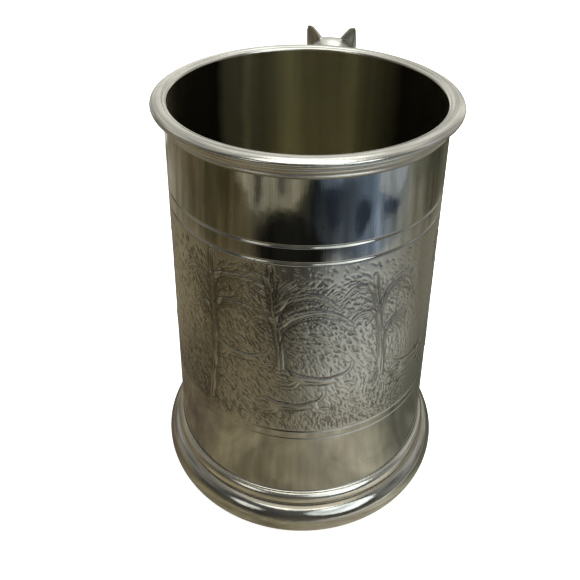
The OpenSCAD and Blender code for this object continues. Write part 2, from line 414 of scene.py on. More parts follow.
def bough(band, rng, angle, z, direction, reach, rise, thick):
    """A bough that leaves the trunk, arches and droops, with leaves above and below it."""
    shape = [(0.0, 0.0, 1.1), (0.25, 0.75, 0.9), (0.55, 1.0, 0.75), (0.8, 0.75, 0.5), (1.0, 0.1, 0.3)]
    path = [(angle + direction * reach * s / DEGREE, z + rise * h, thick * w) for s, h, w in shape]
    band.raise_figure(path)
    points, along = band.walk(path, 1.0)
    for (x, height, width), part in zip(points[2:], along[2:]):
        for side in (-1, 1):
            for layer in range(2):
                length = rng.uniform(1.6, 3.4) * (1 - 0.3 * part)
                lean = direction * rng.uniform(0.5, 1.1)
                base = x / DEGREE + rng.uniform(-0.7, 0.7)
                foot = height + side * (width + 0.5 + 1.7 * layer)
                tip = (base + lean * length / DEGREE, foot + side * length * rng.uniform(0.45, 0.85))
                middle = ((base + tip[0]) / 2 + direction * 0.25, (foot + tip[1]) / 2 + side * 0.35)
                band.incise([(base, foot), middle, tip], rng.uniform(0.06, 0.19), 0.2)


def tuft(band, rng, angle, z, blades, size):
    """A fan of grass blades."""
    for spread in np.linspace(-1, 1, blades):
        length = size * rng.uniform(0.7, 1.1)
        tip = (angle + spread * 0.9 * length / DEGREE, z + length * (1 - 0.35 * spread**2))
        middle = (angle + spread * 0.25 * length / DEGREE, z + 0.55 * length)
        band.incise([(angle + 0.3 * spread, z), middle, tip], rng.uniform(0.12, 0.2), 0.22)


def wear(angle, z):
    """How much of the engraving is left, from 0 to 1: it is rubbed where hands hold it."""
    a = math.radians(angle)
    patchy = 0.5 + 0.5 * math.sin(3 * a + 0.07 * z) * math.sin(2 * a - 0.09 * z + 1.0)
    rubbed = math.exp(-(((angle - 74) / 24) ** 2)) + 0.6 * math.exp(-(((angle + 75) / 22) ** 2))
    return max(0.16, (0.62 + 0.38 * patchy) * (1 - 0.8 * rubbed))


# Trees: (angle, top, foot, lean, boughs of (side, start height, reach, rise, thickness))
WOODS = [
    (-31, 101, 49, 3, [(1, 93, 18, 3.2, 0.8), (1, 84.5, 15, 3.6, 0.7),
                       (-1, 91, 10, 2.5, 0.7), (-1, 80, 8, 4.0, 0.6)]),
    (-1, 101, 69, -2, [(1, 88, 17, 5.2, 0.9), (1, 82.5, 20, 5.6, 0.8),
                       (-1, 96, 8, 2.0, 0.6), (-1, 84, 7, 1.5, 0.5)]),
    (41, 97, 62, -4, [(1, 86, 13, 6.5, 0.7), (1, 76, 9, 4.0, 0.6),
                      (-1, 92, 9, 2.6, 0.7), (-1, 84, 8, 2.0, 0.6)]),
]
# Hounds: (angle, height, lean in degrees, size)
HOUNDS = [(-16, 70.5, 4, 1.05), (14, 64.5, -3, 1.15), (5, 54.5, 5, 1.05), (62, 60, 3, 1.05)]
# The scene repeats this many times round the drum
REPEATS = 3
SKY_Z = 92
RAISED, EDGE_CUT = 0.19, 0.17


def roughen(band, rng):
    """Rough ground and sky: short slanting cuts all over, closer together low down."""
    z = BAND_HIGH - 1.5
    while z > BAND_LOW + 0.8:
        gap = 0.72 + 0.34 * (z - BAND_LOW) / (BAND_HIGH - BAND_LOW)
        for angle in np.arange(-180, 180, 1.3 * gap / DEGREE):
            a = angle + rng.uniform(-0.7, 0.7) / DEGREE
            y = z + rng.uniform(-0.6, 0.6)
            sparse = y > SKY_Z and rng.random() < 0.45
            left = wear(a if a <= 180 else a - 360, y)
            if sparse or not band.clear_of_figures(a, y, 0.5) or rng.random() > 0.45 + 0.7 * left:
                continue
            length = rng.uniform(0.9, 2.6)
            drift = 26 * math.sin(0.09 * a + 0.13 * y) * math.sin(0.21 * y + 0.05 * a)
            slope = math.radians(rng.normal(-58 + drift, 12))
            u, v = 0.5 * length * math.cos(slope) / DEGREE, 0.5 * length * math.sin(slope)
            bend = rng.uniform(-0.12, 0.12)
            path = [(a - u, y - v), (a + bend / DEGREE, y + bend), (a + u, y + v)]
            band.incise(path, rng.uniform(0.08, 0.29) * left, rng.uniform(0.14, 0.2))
        z -= gap


def engrave():
    """The band's relief in millimetres, and how deep each point lies in a cut, from 0 to 1."""
    rng = np.random.default_rng(7)
    band = Band()
    for shift in range(0, 360, 360 // REPEATS):
        for angle, top, foot, lean, boughs in WOODS:
            tree(band, rng, angle + shift, top, foot, lean, boughs)
        for angle, z, lean, size in HOUNDS:
            hound(band, angle + shift, z, lean, size)
    band.draw_figures()
    roughen(band, rng)
    for _ in range(70):
        tuft(band, rng, rng.uniform(-180, 180), rng.uniform(BAND_LOW + 2, 62), 5, rng.uniform(2.0, 3.6))
    band.draw_cuts()
    inside = np.clip(-band.figure / 0.55, 0, 1)
    raised = RAISED * inside * inside * (3 - 2 * inside)
    edge = EDGE_CUT * np.exp(-(((band.figure - 0.24) / 0.2) ** 2))
    # wear changes slowly, so it is worked out on a coarse grid
    down, along = 4, 8
    angles = np.linspace(-180, 180, COLUMNS)[::along]
    worn = np.array([[wear(angle, z) for angle in angles] for z in band.z[::down]])
    worn = np.repeat(np.repeat(worn, down, axis=0)[:BAND_ROWS], along, axis=1)[:, :COLUMNS]
    edge, raised = edge * worn, raised * (0.4 + 0.6 * worn)
    cut = np.maximum(band.cut, edge)
    return raised - cut, np.clip(cut / 0.2, 0, 1)


# ---- Drum ----
def outer_rows():
    """(height, depth of cut, zone) of each row down the drum's outer face; zone 1 is the band."""
    def plain(top, bottom, step):
        return [(z, 0.0, 0) for z in np.linspace(top, bottom, max(2, round((top - bottom) / step) + 1))]

    def line(z, depth):
        parts = (0.5, 0.3, 0.12, 0.0, -0.12, -0.3, -0.5)
        return [(z + LINE_W * p, depth * (1 - (2 * abs(p)) ** 1.5), 0) for p in parts]

    margin = LINE_W / 2 + 0.15
    rows = plain(DRUM_TOP_Z, LINES[0] + margin, 2.0) + line(LINES[0], LINE_DEPTH)
    rows += plain(LINES[0] - margin, LINES[1] + margin, 1.5) + line(LINES[1], LINE_DEPTH)
    rows += [(z, 0.0, 1) for z in np.linspace(BAND_HIGH, BAND_LOW, BAND_ROWS)]
    rows += [(BAND_LOW - 0.15, 0.14, 0), (BAND_LOW - 0.35, 0.14, 0), (BAND_LOW - 0.6, 0.0, 0)]
    rows += plain(BAND_LOW - 1.0, LINES[2] + margin, 1.0) + line(LINES[2], 0.35 * LINE_DEPTH)
    rows += plain(LINES[2] - margin, DRUM_END_Z, 1.5)
    return rows


# Dents: (angle, height, radius, depth) in degrees and millimetres
DENTS = [(-38, 31, 2.4, 0.10), (-12, 24, 5.0, 0.07), (30, 33, 6.5, 0.08), (-60, 112, 7.0, 0.06),
         (20, 116, 5.5, 0.05), (118, 60, 6.0, 0.09), (-130, 25, 4.0, 0.10), (95, 28, 3.0, 0.08)]


def drum_grid():
    """Angles, radii, heights, recess depths and zones of the whole drum wall; rows run in a closed loop."""
    relief, recess = engrave()
    angles = np.linspace(-PI, PI, COLUMNS)
    row_z, row_cut, row_zone = np.array(outer_rows()).T[:, :, None]
    z = row_z + 0.0 * angles
    r = drum_r(z) - row_cut
    depth = row_cut / LINE_DEPTH + 0.0 * angles
    band_rows = row_zone[:, 0] == 1
    r[band_rows] += relief
    depth[band_rows] = recess
    r += wobble(angles, z, 0.06)
    for angle, height, radius, deep in DENTS:
        across = (angles - math.radians(angle)) * drum_r(height)
        r -= deep * np.exp(-(across**2 + (z - height) ** 2) / radius**2)
    inner_z = np.linspace(DRUM_END_Z, DRUM_TOP_Z, 60)[:, None] + 0.0 * angles
    inner_r = bore_r(inner_z) + wobble(angles, inner_z, 0.05)
    zone = np.r_[np.full(len(inner_r), 2), band_rows.astype(int)]
    depth = np.vstack([np.zeros_like(inner_r), depth])
    return angles, np.vstack([inner_r, r]), np.vstack([inner_z, z]), depth, zone


def wall_object(name, angles, r, z, depth, zone):
    """A piece of the drum's wall over a span of angles."""
    columns = angles.shape[-1]
    faces = ring_faces(len(r), columns, True, False)[:, ::-1].tolist()
    first = [i * columns for i in range(len(r))]
    faces.append(first)
    faces.append([i + columns - 1 for i in first[::-1]])
    made = mesh_object(name, round_points(angles, r, z), faces)
    store_recess(made, depth.ravel())
    made.data.polygons.foreach_set("material_index", np.repeat(zone, columns - 1).tolist() + [0, 0])
    for material in (OUTSIDE, BAND, INSIDE):
        made.data.materials.append(material)
    return made


def add_drum():
    angles, r, z, depth, zone = drum_grid()
    limit = 1 - np.arcsin(SEAM_HALF / r) / PI
    stands_for(wall_object("drum_body", angles * limit, r, z, depth, zone), None, "drum_pewter", "drum")
    # the seam fills the gap between the sheet's ends
    across = np.linspace(0, 1, 5)
    ends = limit[:, -1:] * PI
    seam_angles = ends + (2 * PI - 2 * ends) * across
    proud = 0.03 * np.sin(PI * across) * (zone != 2)[:, None]
    seam_r = r[:, -1:] * (1 - across) + r[:, :1] * across + proud
    seam_z = z[:, -1:] + 0.0 * across
    seam_depth = 0.5 * depth[:, -1:] + 0.0 * across
    seam = wall_object("drum_seam", seam_angles, seam_r, seam_z, seam_depth, zone)
    stands_for(seam, None, "solder", "drum_seam_solder")


# ---- Fox: a vixen standing against the drum, worked as a distance field ----
# Joints are (to the side, out from the drum's face, height, radius).
VOXEL = 0.32
CLEARANCE = 0.45
TRUNK = [(0, 14.2, 121.2, 5.0), (0, 15.8, 118.6, 5.0), (0, 20.4, 112.5, 5.5), (0, 25.4, 104.5, 7.3),
         (0, 29.8, 93.5, 7.5), (0, 32.4, 80, 6.2), (0, 32.2, 70, 5.6), (0, 29.6, 60, 6.5),
         (0, 25.6, 51.5, 7.4)]
TAIL = [(0, 26.5, 49, 3.4), (0, 29.6, 43.5, 3.0), (0, 31.8, 36, 4.0), (0, 31.6, 27, 5.2),
        (0, 28.2, 18.6, 5.6), (0, 21.5, 11.6, 4.8), (0, 14.6, 8.4, 3.4), (0, 8.4, 7.6, 1.7),
        (0, 6.2, 7.5, 1.5)]
FORELEG = [(5.0, 23.5, 106.5, 4.6), (7.0, 19.6, 100.4, 3.5), (7.4, 16.0, 100.2, 2.6), (6.8, 9.8, 103.2, 2.0),
           (6.3, 5.2, 104.8, 1.9)]
FOREPAW = [(6.2, 5.0, 104.9, 1.9), (6.0, 2.3, 105.2, 2.3)]
HIND_LEG = [(4.4, 23.6, 51.5, 6.6), (6.3, 17.4, 47.5, 5.0), (7.3, 13.6, 43.6, 3.1), (7.2, 15.2, 38.2, 2.3),
            (6.8, 13.4, 33.4, 2.1), (6.4, 7.6, 31.2, 2.0)]
HINDPAW = [(6.4, 7.4, 31.0, 2.1), (6.2, 2.3, 29.7, 2.4)]


def smooth_min(a, b, width):
    mix = np.clip(0.5 + 0.5 * (b - a) / width, 0, 1)
    return b + (a - b) * mix - width * mix * (1 - mix)


class Clay:
    """A block of clay held as distances on a grid, in millimetres."""

    def __init__(self, low, high):
        self.low = np.array(low, float)
        counts = np.ceil((np.array(high) - self.low) / VOXEL).astype(int) + 1
        self.axes = [self.low[i] + VOXEL * np.arange(counts[i]) for i in range(3)]
        self.field = np.full(counts, 3.0)

    def window(self, low, high):
        """The part of the grid between two corners, and its coordinates."""
        parts = []
        for i in range(3):
            start = max(0, int((low[i] - self.low[i]) / VOXEL))
            parts.append(slice(start, max(start + 1, int((high[i] - self.low[i]) / VOXEL) + 2)))
        return tuple(parts), np.ix_(*[axis[part] for axis, part in zip(self.axes, parts)])

    def body(self, path, flat=1.0):
        """Distances to a round body along a path of (x, y, z, radius), squeezed from side to side."""
        path = np.asarray(path, float)
        room = path[:, 3].max() + 4.5
        parts, _ = self.window(path[:, :3].min(axis=0) - room, path[:, :3].max(axis=0) + room)
        block = np.full(self.field[parts].shape, 9.0)
        for a, b in zip(path, path[1:]):
            reach = max(a[3], b[3]) + 4.5
            inner, (x, y, z) = self.window(np.minimum(a, b)[:3] - reach, np.maximum(a, b)[:3] + reach)
            along = b[:3] - a[:3]
            x, y, z = x - a[0], y - a[1], z - a[2]
            t = np.clip((x * along[0] + y * along[1] + z * along[2]) / max(along @ along, 1e-6), 0, 1)
            x, y, z = (x - t * along[0]) / flat, y - t * along[1], z - t * along[2]
            gap = np.sqrt(x**2 + y**2 + z**2)
            local = tuple(slice(i.start - p.start, i.stop - p.start) for i, p in zip(inner, parts))
            target = block[local]
            value = gap - (a[3] + t * (b[3] - a[3]))
            np.minimum(target, value[tuple(slice(0, n) for n in target.shape)], out=target)
        return parts, block

    def add(self, path, blend, flat=1.0):
        parts, block = self.body(path, flat)
        self.field[parts] = smooth_min(self.field[parts], block, blend)

    def carve(self, path, blend):
        parts, block = self.body(path)
        self.field[parts] = -smooth_min(-self.field[parts], block, blend)

    def at(self, points, field=None):
        """Field values at the grid points nearest to the given points."""
        field = self.field if field is None else field
        index = np.round((points - self.low) / VOXEL).astype(int)
        index = np.clip(index, 0, np.array(field.shape) - 1)
        return field[index[..., 0], index[..., 1], index[..., 2]]

    def surface(self, centres, outward, reach):
        """The last place inside the clay on the way out from each centre."""
        steps = np.arange(0, reach, 0.16)
        points = centres[..., None, :] + outward[..., None, :] * steps[:, None]
        inside = self.at(points) < 0
        last = np.where(inside.any(axis=-1), len(steps) - 1 - np.argmax(inside[..., ::-1], axis=-1), 0)
        return centres + outward * steps[last][..., None]


def fox_path(joints, side=1, steps=5):
    path = smooth_path(np.array(joints, float), steps)
    path[:, 1] += drum_r(path[:, 2])
    path[:, 0] *= side
    return path


def add_ear(clay, side):
    """A pricked ear, hollow in front, with a thick rim."""
    height, base_half, tip_half = 6.6, 3.9, 0.8
    base_x, tip_x, tip_z = 4.5, 6.5, 132.55
    facing = np.array([0.38 * side, -0.925, 0.0])
    origin = np.array([side * base_x, drum_r(125) + 14.9, tip_z - height])
    parts, (x, y, z) = clay.window(origin - 6, origin + np.array([6, 6, 8.5]))
    v = z - origin[2]
    rise = np.clip(v / height, 0, 1)
    centre_x = side * (base_x + (tip_x - base_x) * rise)
    u = (x - centre_x) * -facing[1] + (y - origin[1]) * facing[0]
    w = (x - centre_x) * facing[0] + (y - origin[1]) * facing[1] - 0.9 * rise
    half = tip_half + (base_half - tip_half) * (1 - rise) ** 0.8
    depth = 0.35 + 1.5 * (1 - rise)
    across = np.clip(np.abs(u + 0.35 * side * (1 - rise)) / (0.66 * half), 0, 1)
    front = 0.55 - depth * (1 - across**2)
    back = 0.5 + 1.6 * (1 - rise) * np.sqrt(np.clip(1 - (u / (half + 0.3)) ** 2, 0, 1))
    shell = np.maximum(np.abs(u) - half, np.maximum(w - front, -w - back))
    shell = np.maximum(shell, np.maximum(v - height, -v - 1.5))
    clay.field[parts] = smooth_min(clay.field[parts], shell, 0.5)


def fur(clay, rng, joints, count, reach, span, around=PI, side=1, length=4.0, width=0.26):
    """Short grooves that follow the body from head to tail."""
    spine = fox_path(joints, side, 8)[:, :3]
    lengths = np.r_[0, np.cumsum(np.linalg.norm(np.diff(spine, axis=0), axis=1))]
    start = rng.uniform(*span, count) * lengths[-1]
    angle = rng.uniform(-around, around, count)
    strokes = start[:, None] + length * rng.uniform(0.7, 1.3, count)[:, None] * np.linspace(0, 1, 4)
    strokes = np.clip(strokes, 0, lengths[-1] - 0.01)
    centres = along_path(spine, lengths, strokes)
    ahead = along_path(spine, lengths, strokes + 0.5) - centres
    ahead /= np.linalg.norm(ahead, axis=-1, keepdims=True) + 1e-9
    sideways = np.array([1.0, 0.0, 0.0])
    normal = np.cross(sideways, ahead)
    normal *= np.sign(normal[..., 1:2])
    swing = angle[:, None] + 0.12 * np.linspace(0, 1, 4) * np.sign(np.sin(angle))[:, None]
    outward = np.cos(swing)[..., None] * normal + np.sin(swing)[..., None] * sideways
    sizes = width * np.array([0.35, 1.0, 0.9, 0.3])
    for points in clay.surface(centres, outward, reach):
        clay.carve(np.column_stack([points, sizes]), 0.18)


# The head: (carved, blend, points), and then the same for each side of the face
HEAD = [
    (False, 2.0, [(0, 13.4, 123.4, 5.5), (0, 12.2, 123.0, 5.2)]),
    (False, 1.4, [(-2.4, 13.8, 125.0, 4.0), (2.4, 13.8, 125.0, 4.0)]),
    (False, 1.6, [(0, 10.4, 121.8, 3.9), (0, 6.6, 119.7, 2.45), (0, 3.6, 118.2, 1.75)]),
    (False, 0.8, [(0, 10, 119.2, 2.6), (0, 4.0, 116.8, 1.3), (0, 1.2, 117.2, 0.95)]),
]
NOSE = (False, 0.2, [(0, 2.3, 118.5, 1.0), (0, 2.9, 118.8, 0.95)])
# cheek, jaw, brow, eye socket, eye, mouth and nostril
FACE = [
    (False, 1.3, [(3.5, 11.4, 121.2, 3.1), (5.9, 13.8, 119.6, 1.9), (8.2, 16.6, 118.0, 0.6)]),
    (False, 0.8, [(4.4, 13.2, 119.0, 2.0), (6.6, 16.0, 116.2, 0.6)]),
    (False, 0.9, [(1.3, 7.8, 122.9, 0.8), (3.1, 9.2, 125.2, 0.9), (4.9, 11.4, 125.7, 0.7)]),
    (True, 0.5, [(3.0, 7.6, 123.2, 1.1), (4.1, 8.8, 123.9, 0.9)]),
    (False, 0.15, [(2.9, 8.6, 123.2, 0.95), (3.0, 8.7, 123.2, 0.95)]),
    (True, 0.15, [(1.5, 2.8, 117.4, 0.24), (2.2, 5.6, 118.2, 0.26), (2.9, 8.8, 119.0, 0.2)]),
    (True, 0.15, [(0.7, 1.5, 118.6, 0.3), (1.0, 2.0, 118.7, 0.3)]),
]


def shape_head(clay):
    def work(carved, blend, points, side=1):
        path = [(side * x, drum_r(123) + out, z, r) for x, out, z, r in points]
        (clay.carve if carved else clay.add)(path, blend)

    for part in HEAD:
        work(*part)
    for side in (-1, 1):
        for part in FACE:
            work(*part, side)
        add_ear(clay, side)
    work(*NOSE)


def fox_object(name):
    low, high = node_box("fox_handle")
    clay = Clay(low - 1.2, high + 1.2)
    rng = np.random.default_rng(11)
    clay.add(fox_path(TRUNK), 1.0, 0.86)
    clay.add(fox_path(TAIL), 1.6)
    for side in (-1, 1):
        for leg, paw in ((FORELEG, FOREPAW), (HIND_LEG, HINDPAW)):
            clay.add(fox_path(leg, side), 2.2)
            clay.add(fox_path(paw, side), 0.8)
    shape_head(clay)
    smooth = clay.field.copy()
    fur(clay, rng, TRUNK, 620, 12, (0.08, 0.96), 2.7)
    fur(clay, rng, TAIL, 480, 9, (0.06, 0.97), length=5.0, width=0.3)
    for side in (-1, 1):
        fur(clay, rng, FORELEG, 70, 8, (0.0, 0.9), side=side, length=2.6, width=0.24)
        fur(clay, rng, HIND_LEG, 130, 9, (0.0, 0.85), side=side, length=3.2)
        for paw in (FOREPAW, HINDPAW):
            x, out, z, r = paw[-1]
            for toe in (-0.95, 0.0, 0.95):
                y = drum_r(z) + out
                clay.carve([(side * x + toe, y - 1.6, z + r + 0.1, 0.22),
                            (side * x + 0.8 * toe, y + 1.6, z + r + 0.05, 0.2)], 0.2)
    x, y, z = np.ix_(*clay.axes)
    r = np.hypot(x, y)
    # clear of the drum and the foot, and just inside the CAD box
    cuts = [drum_r(z) + CLEARANCE - r, TORUS_R + CLEARANCE - np.hypot(r - (FOOT_R - TORUS_R), z - TORUS_Z)]
    for axis, start, end in zip((x, y, z), low, high):
        cuts += [start - axis + 0.02, axis - end + 0.02]
    for cut in cuts:
        clay.field = np.maximum(clay.field, cut)
    grid = openvdb.FloatGrid(3.0)
    grid.copyFromArray(clay.field.astype(np.float32))
    points, quads = grid.convertToQuads(isovalue=0.0)
    points = points * VOXEL + clay.low
    made = mesh_object(name, points, quads[:, ::-1].tolist())
    store_recess(made, np.clip((clay.at(points) - clay.at(points, smooth)) / 0.28, 0, 1))
    return made


# ---- Materials ----
class Nodes:
    """Short names for building a node tree."""

    def __init__(self, owner, coordinate):
        owner.use_nodes = True
        self.owner = owner
        self.tree = owner.node_tree
        self.shader = self.tree.nodes.get("Principled BSDF") or self.tree.nodes["Background"]
        self.place = self.tree.nodes.new("ShaderNodeTexCoord").outputs[coordinate]
        self.surface = next(n for n in self.tree.nodes if n.name.endswith("Output")).inputs["Surface"]

    def link(self, source, target):
        self.tree.links.new(source, target)

    def feed(self, socket, value):
        if isinstance(value, bpy.types.NodeSocket):
            self.link(value, socket)
        elif isinstance(value, tuple) and len(value) == 3 and socket.type == "RGBA":
            socket.default_value = (*value, 1)
        else:
            socket.default_value = value

    def add(self, kind, **inputs):
        node = self.tree.nodes.new(kind)
        for key, value in inputs.items():
            self.feed(node.inputs[key], value)
        return node

    def math(self, operation, a, b=0.0, clamp=False):
        node = self.tree.nodes.new("ShaderNodeMath")
        node.operation, node.use_clamp = operation, clamp
        self.feed(node.inputs[0], a)
        self.feed(node.inputs[1], b)
        return node.outputs[0]

    def vector(self, operation, a, b):
        node = self.tree.nodes.new("ShaderNodeVectorMath")
        node.operation = operation
        self.feed(node.inputs[0], a)
        self.feed(node.inputs[1], b)
        return node.outputs["Value" if operation == "DOT_PRODUCT" else "Vector"]

    def plus(self, a, b, clamp=False):
        return self.math("ADD", a, b, clamp)

    def times(self, a, b):
        return self.math("MULTIPLY", a, b)

    def swayed(self, value, noise, amount):
        """The value, moved up and down by a noise."""
        return self.plus(value, self.times(self.math("SUBTRACT", noise, 0.5), amount))

    def turn_from(self, x, y):
        """The angle of a direction, as a part of a turn."""
        return self.plus(0.5, self.times(self.math("ARCTAN2", x, y), 0.5 / PI))

    def stretched(self, x, y, z):
        """Object coordinates in millimetres times a factor on each axis."""
        return self.vector("MULTIPLY", self.place, (x / MM, y / MM, z / MM))

    def noise(self, vector, scale, detail=3.0, rough=0.55):
        node = self.add("ShaderNodeTexNoise", Vector=vector, Scale=scale, Detail=detail, Roughness=rough)
        return node.outputs["Fac"]

    def ramp(self, value, *stops):
        """Stops are (place, brightness) or (place, red, green, blue)."""
        node = self.tree.nodes.new("ShaderNodeValToRGB")
        self.link(value, node.inputs["Fac"])
        elements = node.color_ramp.elements
        while len(elements) < len(stops):
            elements.new(0.5)
        for element, (place, *color) in zip(elements, stops):
            element.position = place
            element.color = (*(color if len(color) == 3 else 3 * color), 1)
        return node.outputs["Color"]

    def blend(self, kind, factor, a, b):
        node = self.tree.nodes.new("ShaderNodeMix")
        node.data_type, node.blend_type = "RGBA", kind
        for index, value in zip((0, 6, 7), (factor, a, b)):
            self.feed(node.inputs[index], value)
        return node.outputs[2]

    def mix(self, factor, a, b):
        return self.blend("MIX", factor, a, b)

    def split_by_ray(self, seen, reflected):
        """One shader for the camera, another for everything else."""
        path = self.tree.nodes.new("ShaderNodeLightPath")
        mix = self.tree.nodes.new("ShaderNodeMixShader")
        self.link(path.outputs["Is Camera Ray"], mix.inputs["Fac"])
        self.link(reflected, mix.inputs[1])
        self.link(seen, mix.inputs[2])
        self.link(mix.outputs[0], self.surface)


DIRT = (0.03, 0.027, 0.02)
TURNED = (0.3, 0.3, 1.5)


def pewter(name, base, dull, rough, grain=(1, 1, 0.06), streak=0.10, pits=0.0, bump=0.25, recess=0.0,
           columns=None):
    """Worn pewter: cloudy colour, fine brushing along one axis, scratches, pits and dirt in the cuts.

    Columns are painted shade and painted glints: the brightness of streaks down the piece, by angle as a part
    of a turn from the front.
    """
    n = Nodes(bpy.data.materials.new(name), "Object")
    even = n.stretched(1, 1, 1)
    cloud = n.noise(even, 0.055, 4.0)
    brushed = n.noise(n.stretched(*grain), 2.2, 3.0, 0.6)
    wide = n.noise(n.stretched(grain[0] * 0.3, grain[1] * 0.3, grain[2] * 0.25), 1.0, 2.0)
    color = n.mix(n.ramp(cloud, (0.35, 0.0), (0.7, 1.0)), base, dull)
    shaded = n.times(n.ramp(wide, (0.4, 0.0), (0.65, 1.0)), 0.35)
    color = n.mix(shaded, color, tuple(0.62 * c for c in base))
    if columns:
        split = n.add("ShaderNodeSeparateXYZ", Vector=n.place)
        turn = n.turn_from(split.outputs["X"], split.outputs["Y"])
        # painted shade on the sides of the cup and painted glints down it, by angle round the piece
        color = n.blend("MULTIPLY", 1.0, color, n.ramp(n.swayed(turn, cloud, 0.012), *columns))
    spots = n.add("ShaderNodeTexVoronoi", Vector=even, Scale=0.42)
    near = n.ramp(spots.outputs["Distance"], (0.05, 1.0), (0.16, 0.0))
    rare = n.ramp(n.noise(even, 0.09, 2.0), (0.56, 0.0), (0.66, 1.0))
    pit = n.times(n.times(near, rare), pits)
    color = n.mix(pit, color, DIRT)
    if recess:
        cut = n.add("ShaderNodeAttribute")
        cut.attribute_name = "recess"
        dirt = n.times(n.ramp(cut.outputs["Fac"], (0.1, 0.0), (0.75, 1.0)), recess)
        color = n.mix(dirt, color, DIRT)
    n.link(color, n.shader.inputs["Base Color"])
    n.shader.inputs["Metallic"].default_value = 1.0
    roughness = n.swayed(n.swayed(rough, brushed, streak), cloud, streak)
    roughness = n.plus(roughness, n.times(pit, 0.3), clamp=True)
    n.link(roughness, n.shader.inputs["Roughness"])
    scratches = n.noise(n.stretched(3.0, 3.0, 0.12), 1.6, 2.0)
    height = n.plus(n.times(brushed, 0.6), n.times(scratches, 0.4))
    height = n.math("SUBTRACT", height, n.times(pit, 1.5))
    height = n.plus(height, n.times(n.noise(even, 0.16, 2.0), 1.6))
    out = n.add("ShaderNodeBump", Strength=bump, Distance=0.00008, Height=height)
    n.link(out.outputs["Normal"], n.shader.inputs["Normal"])
    return n.owner


# ---- Camera, light and floor ----
AZIMUTH = math.radians(8.1)
CAMERA_DISTANCE, CAMERA_HEIGHT = 159.0, 189.7
PITCH, ROLL, YAW = math.radians(38.0), math.radians(0.67), math.radians(-1.06)
LENS, SENSOR = 38.53, 36.0
SHIFT = (-0.0067, -0.0052)


def make_camera():
    data = bpy.data.cameras.new("camera")
    data.lens, data.sensor_width = LENS, SENSOR
    data.shift_x, data.shift_y = SHIFT
    data.clip_start, data.clip_end = 0.01, 20
    camera = placed("camera", data)
    turn = Matrix.Rotation(AZIMUTH, 3, "Z")
    place = turn @ Vector((0, -CAMERA_DISTANCE, CAMERA_HEIGHT))
    level_part = math.cos(PITCH)
    ahead = turn @ Vector((math.sin(YAW) * level_part, math.cos(YAW) * level_part, -math.sin(PITCH)))
    level = ahead.cross(Vector((0, 0, 1))).normalized()
    above = level.cross(ahead)
    right = level * math.cos(ROLL) + above * math.sin(ROLL)
    up = above * math.cos(ROLL) - level * math.sin(ROLL)
    axes = Matrix((right, up, -ahead)).transposed().to_4x4()
    camera.matrix_world = Matrix.Translation(place * MM) @ axes
    bpy.context.scene.camera = camera


def make_light():
    """A soft square light that the metal doesn't mirror."""
    place, aim = Vector((0.15, -0.1, 0.9)), Vector((0, 0, 0.05))
    data = bpy.data.lights.new("overhead", "AREA")
    data.shape, data.size, data.energy = "SQUARE", 0.6, 8
    lamp = placed("overhead", data)
    lamp.location = place
    lamp.visible_glossy = False
    lamp.rotation_euler = (aim - place).to_track_quat("-Z", "Y").to_euler()


def direction(azimuth, elevation):
    """A unit vector; azimuth 0 is towards -Y, and positive is towards +X."""
    a, e = math.radians(azimuth), math.radians(elevation)
    return (math.sin(a) * math.cos(e), -math.cos(a) * math.cos(e), math.sin(e))


# The room's colour at each height, as the sine of the elevation
ROOM = [(0.0, 0.15, 0.135, 0.10), (0.3, 0.07, 0.066, 0.06), (0.72, 0.10, 0.098, 0.095),
        (0.97, 0.24, 0.24, 0.23)]
# Soft lobes of light round the room: (direction, cosines at its rim and core, colour, strength)
LOBES = [
    (direction(43, 39), (0.930, 0.948), (0.88, 0.96, 1.0), 1.7),
    (direction(3, 82), (0.915, 0.945), (1.0, 1.0, 0.93), 2.1),
    (direction(-31, 34), (0.980, 0.992), (0.95, 0.95, 0.90), 0.9),
    (direction(-95, 30), (0.80, 0.97), (1.0, 0.96, 0.85), 0.14),
    (direction(95, 24), (0.85, 0.97), (0.95, 0.98, 1.0), 0.20),
    (direction(180, 38), (0.35, 0.85), (1.0, 0.99, 0.93), 0.78),
    (direction(178, 66), (0.965, 0.985), (0.92, 0.97, 1.0), 1.3),
]


def make_world():
    """White to the camera; to the metal, a dim room with a window and pale walls behind."""
    world = bpy.data.worlds.new("studio")
    n = Nodes(world, "Generated")
    n.shader.inputs["Color"].default_value = (1, 1, 1, 1)
    height = n.add("ShaderNodeSeparateXYZ", Vector=n.place).outputs["Z"]
    color = n.ramp(height, *ROOM)
    for toward, (rim, core), tint, strength in LOBES:
        near = n.ramp(n.vector("DOT_PRODUCT", n.place, toward), (rim, 0.0), (core, 1.0))
        lobe = n.blend("MULTIPLY", 1.0, near, tuple(strength * c for c in tint))
        color = n.blend("ADD", 1.0, color, lobe)
    uneven = n.noise(n.place, 2.6, 3.0, 0.5)
    color = n.blend("MULTIPLY", 1.0, color, n.ramp(uneven, (0.34, 0.45), (0.62, 1.25)))
    room = n.add("ShaderNodeBackground", Color=color)
    n.split_by_ray(n.shader.outputs[0], room.outputs[0])
    bpy.context.scene.world = world
